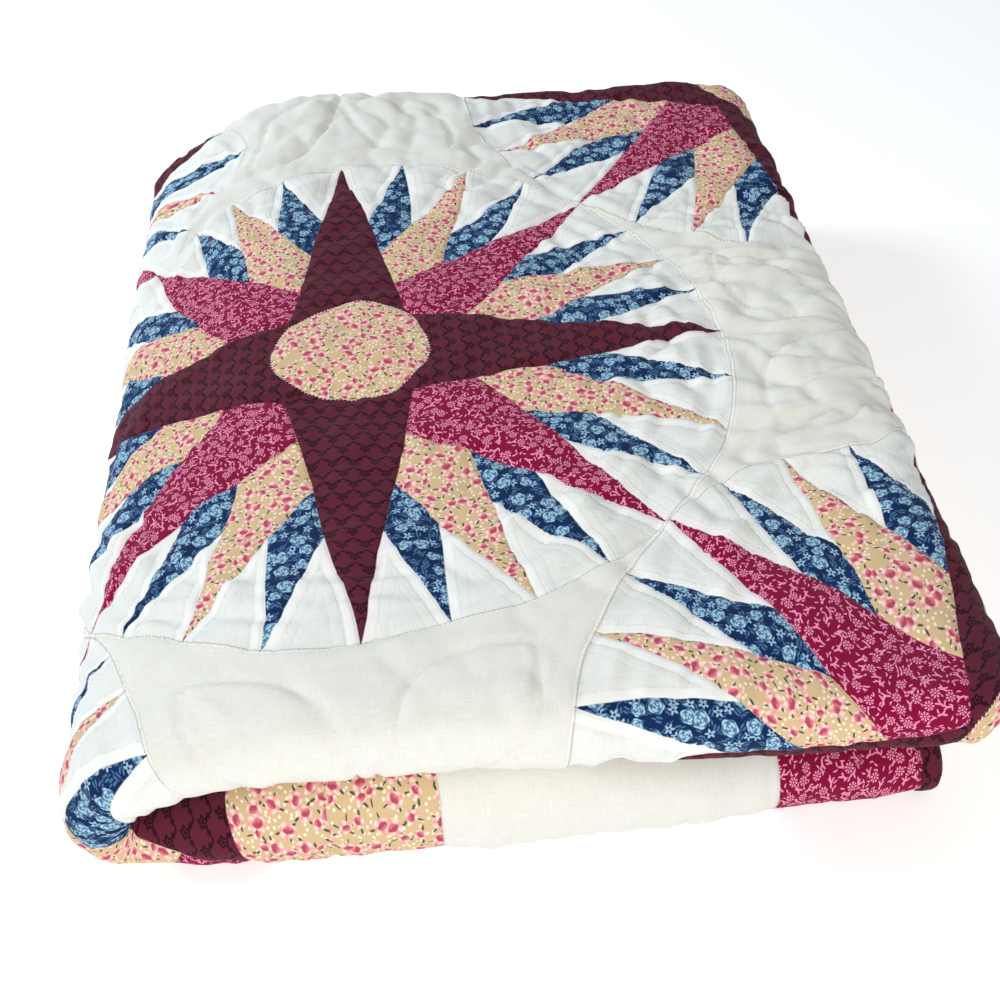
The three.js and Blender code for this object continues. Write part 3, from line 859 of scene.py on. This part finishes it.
def leaf_lines():
    share = np.linspace(0.02, 0.98, 60)
    half_width = leaf_half_width(share)
    along = np.concatenate([share, share[::-1]]) * LEAF_LENGTH
    across = np.concatenate([half_width, -half_width[::-1]])
    for column, row in SEWN_DIAMONDS:
        for leaf in range(LEAVES):
            turn = LEAF_TURN + leaf * 2 * math.pi / LEAVES
            yield (column * STAR_PITCH + along * math.cos(turn) - across * math.sin(turn),
                   row * STAR_PITCH + along * math.sin(turn) + across * math.cos(turn))


def round_lines():
    """The edges of the discs and of the round frames."""
    angle = np.linspace(0, 2 * math.pi, 800)
    shift_p = (DISC_SHIFT[0] - DISC_SHIFT[1]) * math.sqrt(0.5)
    shift_q = (DISC_SHIFT[0] + DISC_SHIFT[1]) * math.sqrt(0.5)
    edge = disc_radius(angle - math.pi / 4)
    for column, row in SEWN_STARS:
        middle_p, middle_q = column * STAR_PITCH, row * STAR_PITCH
        yield middle_p + STAR_RADIUS * np.cos(angle), middle_q + STAR_RADIUS * np.sin(angle)
        yield middle_p + shift_p + edge * np.cos(angle), middle_q + shift_q + edge * np.sin(angle)


def stitch_tree():
    """Geometry Nodes: stitches along the edges of a mesh, which has the cloth's upward direction in "up"."""
    tree = bpy.data.node_groups.new("stitches", "GeometryNodeTree")
    tree.interface.new_socket("Geometry", in_out="INPUT", socket_type="NodeSocketGeometry")
    for name in RUNNING:
        tree.interface.new_socket(name, in_out="INPUT", socket_type="NodeSocketFloat")
    tree.interface.new_socket("Material", in_out="INPUT", socket_type="NodeSocketMaterial")
    tree.interface.new_socket("Geometry", in_out="OUTPUT", socket_type="NodeSocketGeometry")
    inputs = tree.nodes.new("NodeGroupInput")
    given = {socket.name: Socket(tree, socket) for socket in inputs.outputs}
    add = Socket(tree).node
    curve = add("GeometryNodeMeshToCurve", {}, {"Mesh": given["Geometry"]})
    curve = add("GeometryNodeResampleCurve", {"mode": "LENGTH"}, {"Curve": curve, "Length": given["Spacing"]})
    ball = add("GeometryNodeMeshUVSphere", {},
               {"Segments": STITCH_SIDES, "Rings": STITCH_RINGS, "Radius": 0.5})
    size = add("ShaderNodeCombineXYZ", {},
               {0: given["Length"], 1: given["Thickness"], 2: given["Thickness"]})
    stitch = add("GeometryNodeTransform", {}, {"Geometry": ball, "Scale": size})
    up = add("GeometryNodeInputNamedAttribute", {"data_type": "FLOAT_VECTOR"}, {"Name": "up"})
    turn = add("FunctionNodeAlignRotationToVector", {"axis": "Z"}, {"Vector": up})
    along = add("GeometryNodeInputTangent", {}, {})
    turn = add("FunctionNodeAlignRotationToVector", {"axis": "X", "pivot_axis": "Z"},
               {"Rotation": turn, "Vector": along})
    chance = lambda low, high, seed: add("FunctionNodeRandomValue", {"data_type": "FLOAT"},
                                         {2: low, 3: high, "Seed": seed}, output=1)
    slant = add("ShaderNodeCombineXYZ", {}, {2: given["Slant"] + chance(-STITCH_SWAY, STITCH_SWAY, 5)})
    turn = add("FunctionNodeRotateRotation", {"rotation_space": "LOCAL"},
               {"Rotation": turn, "Rotate By": slant})
    long = chance(*STITCH_LENGTHS, 6)
    scale = add("ShaderNodeCombineXYZ", {}, {0: long, 1: 1.0, 2: 1.0})
    stitches = add("GeometryNodeInstanceOnPoints", {},
                   {"Points": curve, "Instance": stitch, "Rotation": turn, "Scale": scale})
    stitches = add("GeometryNodeRealizeInstances", {}, {"Geometry": stitches})
    stitches = add("GeometryNodeSetShadeSmooth", {}, {"Geometry": stitches})
    stitches = add("GeometryNodeSetMaterial", {}, {"Geometry": stitches, "Material": given["Material"]})
    add("NodeGroupOutput", {}, {"Geometry": stitches}, output=None)
    return tree


def sewn(name, lines, sizes, tree, material, lift):
    """A piece of stitches along lines of the drawn pattern, where the sheet's face shows."""
    points, edges, ups = [], [], []
    for line in lines:
        across, along = on_sheet(*line)
        lower, upper = (face_points(across, along, height) for height in (lift, lift + 1))
        shown = lower[:, 2] > LOWEST_STITCH * MM
        for places, (first, last) in ((across, VISIBLE_ACROSS), (along, VISIBLE_ALONG)):
            shown &= (places > first + STITCH_MARGIN) & (places < last - STITCH_MARGIN)
        joined = np.flatnonzero(shown[:-1] & shown[1:])
        edges.extend((joined[:, None] + np.array([0, 1]) + len(points)).tolist())
        points.extend(lower.tolist())
        ups.extend(((upper - lower) / np.linalg.norm(upper - lower, axis=1, keepdims=True)).tolist())
    mesh = bpy.data.meshes.new(name + "_lines")
    mesh.from_pydata(points, edges, [])
    upwards = mesh.attributes.new("up", "FLOAT_VECTOR", "POINT")
    upwards.data.foreach_set("vector", np.ravel(ups).astype(np.float32))
    guide = bpy.data.objects.new(name + "_lines", mesh)
    bpy.context.scene.collection.objects.link(guide)
    stitching = guide.modifiers.new("stitches", "NODES")
    stitching.node_group = tree
    for socket in tree.interface.items_tree:
        if socket.in_out == "INPUT" and socket.name != "Geometry":
            stitching[socket.identifier] = material if socket.name == "Material" else sizes[socket.name]
    evaluated = guide.evaluated_get(bpy.context.evaluated_depsgraph_get())
    made = bpy.data.objects.new(name, bpy.data.meshes.new_from_object(evaluated))
    made.data.name = name
    bpy.data.objects.remove(guide)
    bpy.data.meshes.remove(mesh)
    bpy.context.scene.collection.objects.link(made)
    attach(made, "root")
    return made


def spun_thread():
    """White thread: fine plies show as a tight ripple, and it has yellowed unevenly."""
    material = bpy.data.materials.new("white_thread")
    material.use_nodes = True
    tree = material.node_tree
    shader = tree.nodes["Principled BSDF"]
    shader.inputs["Roughness"].default_value = 0.7
    shader.inputs["Specular IOR Level"].default_value = 0.25
    place = Socket(tree).node("ShaderNodeTexCoord", {}, {}, output="Object")
    old = place.node("ShaderNodeTexNoise", {}, {"Vector": place, "Scale": 60.0, "Detail": 1.0})
    plies = place.node("ShaderNodeTexNoise", {}, {"Vector": place, "Scale": 4000.0, "Detail": 0.0})
    colour = old.ramp(0.35, 0.65).over(dyed(246, 245, 240), dyed(228, 224, 212))
    bump = place.node("ShaderNodeBump", {}, {"Strength": 0.6, "Distance": 0.1 * MM, "Height": plies})
    tree.links.new(colour.socket, shader.inputs["Base Color"])
    tree.links.new(bump.socket, shader.inputs["Normal"])
    return material


stitches, white_thread = stitch_tree(), spun_thread()
running = sewn("running_stitches", [*ray_lines(), *leaf_lines()], RUNNING, stitches, white_thread, 0.1)
slanted = sewn("slanted_stitches", round_lines(), SLANTED, stitches, white_thread, 0.2)


# The binding
# A burgundy cotton strip, folded over the raw edge of the sheet and sewn down by hand on both sides, with a
# mitre at each corner. It is a little plump over the cut edge of the batting.
BINDING_GAP = 0.3
BINDING_SECTION = ((0, -0.5), (0.3, -0.55), (0.6, -0.53), (0.85, -0.38), (1, 0), (0.85, 0.38), (0.6, 0.53),
                   (0.3, 0.55), (0, 0.5))  # share of the width from the seam, height over the thickness


def binding_mesh():
    inner = np.array([SHEET_HALF_WIDTH + BINDING_GAP, SHEET_HALF_LENGTH + BINDING_GAP])
    outer = np.array([HALF_WIDTH, HALF_LENGTH])
    corners = [np.array(c) for c in ((-1, -1), (1, -1), (1, 1), (-1, 1))]
    stops = []
    for corner, after in zip(corners, corners[1:] + corners[:1]):
        axis = int(corner[0] == after[0])
        places = split((ACROSS_LINES, ALONG_LINES)[axis], 2)
        for place in places[:-1] * after[axis]:
            ends = [corner * inner, corner * outer]
            if abs(place) < SHEET_HALF_WIDTH * (axis == 0) + SHEET_HALF_LENGTH * (axis == 1):
                for end in ends:
                    end[axis] = place
            stops.append(ends)
    stops = np.array(stops)
    shares = np.array(BINDING_SECTION)
    spots = stops[:, None, 0] + (stops[:, None, 1] - stops[:, None, 0]) * shares[None, :, 0, None]
    heights = np.broadcast_to(shares[None, :, 1] * THICKNESS, spots.shape[:2])
    flat = spots.reshape(-1, 2)
    points = fold(flat[:, 0], flat[:, 1], heights.ravel())
    count, sides = heights.shape
    faces = [[k * sides + s, (k + 1) % count * sides + s, (k + 1) % count * sides + (s + 1) % sides,
              k * sides + (s + 1) % sides] for k in range(count) for s in range(sides)]
    return points, faces, flat


def bound_edge(p, q):
    return woven(burgundy_calico(p, q), raised(slubs(p, q) * 0.15))


points, faces, flat = binding_mesh()
binding = cloth_object("edge_binding", points, faces, flat, [cotton("burgundy_binding", bound_edge)])
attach(binding, "root")
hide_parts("binding")


# The floor, the light and the camera
# A plain pale floor. Warm light comes from a window in front and cooler light from a skylight behind, and
# the camera stands where the photo was taken.
FLOOR_HALF = 8.0
FLOOR_DROP = 0.0005
floor_mesh = bpy.data.meshes.new("floor")
floor_corners = [(x * FLOOR_HALF, y * FLOOR_HALF, 0) for x, y in ((-1, -1), (1, -1), (1, 1), (-1, 1))]
floor_mesh.from_pydata(floor_corners, [], [(0, 1, 2, 3)])
floor = bpy.data.objects.new("floor", floor_mesh)
bpy.context.scene.collection.objects.link(floor)
floor.location.z = -FLOOR_DROP
pale = bpy.data.materials.new("pale_floor")
pale.use_nodes = True
paint = pale.node_tree.nodes["Principled BSDF"].inputs
paint["Base Color"].default_value = (0.93, 0.93, 0.93, 1)
paint["Roughness"].default_value = 0.9
paint["Emission Color"].default_value = (1, 1, 1, 1)
paint["Emission Strength"].default_value = 0.3
floor_mesh.materials.append(pale)

world = bpy.data.worlds.new("studio")
world.use_nodes = True
sky = world.node_tree.nodes["Background"].inputs
sky["Color"].default_value = (0.87, 0.94, 1.0, 1)
sky["Strength"].default_value = 0.38
bpy.context.scene.world = world
bpy.context.scene.view_settings.view_transform = "Standard"
LIGHT_AIM = Vector((0, 0, 0.05))


def window_light(name, place, size, watts, colour):
    data = bpy.data.lights.new(name, "AREA")
    data.shape = "RECTANGLE"
    data.size, data.size_y = size
    data.energy = watts
    data.color = colour
    made = bpy.data.objects.new(name, data)
    made.location = place
    made.rotation_euler = (LIGHT_AIM - Vector(place)).to_track_quat("-Z", "Y").to_euler()
    bpy.context.scene.collection.objects.link(made)


window_light("window", (-0.15, -1.75, 1.5), (0.5, 0.4), 29, (1.0, 0.95, 0.88))
window_light("skylight", (-1.6, 1.3, 1.1), (0.9, 0.6), 31, (0.86, 0.94, 1.0))

VIEW_AZIMUTH = math.radians(-4.906)
VIEW_ELEVATION = math.radians(42.547)
VIEW_ROLL = math.radians(-1.197)
VIEW_DISTANCE = 3.2681 * STAR_RADIUS * MM
VIEW_TARGET = Vector((0.3399, -0.5963, 0)) * STAR_RADIUS * MM
FOCAL_SHARE = 1.4  # focal length over the picture's width
star_middle = Vector(fold(0, 0, THICKNESS / 2)[0])
backwards = Vector((math.sin(VIEW_AZIMUTH) * math.cos(VIEW_ELEVATION),
                    -math.cos(VIEW_AZIMUTH) * math.cos(VIEW_ELEVATION), math.sin(VIEW_ELEVATION)))
right = (-backwards).cross(Vector((0, 0, 1))).normalized()
up = right.cross(-backwards)
turned_right = right * math.cos(VIEW_ROLL) + up * math.sin(VIEW_ROLL)
turned_up = up * math.cos(VIEW_ROLL) - right * math.sin(VIEW_ROLL)
camera_data = bpy.data.cameras.new("camera")
camera_data.sensor_width = 36
camera_data.lens = FOCAL_SHARE * camera_data.sensor_width
camera = bpy.data.objects.new("camera", camera_data)
camera.matrix_world = Matrix((turned_right, turned_up, backwards)).transposed().to_4x4()
camera.location = star_middle + VIEW_TARGET + backwards * VIEW_DISTANCE
bpy.context.scene.collection.objects.link(camera)
bpy.context.scene.camera = camera
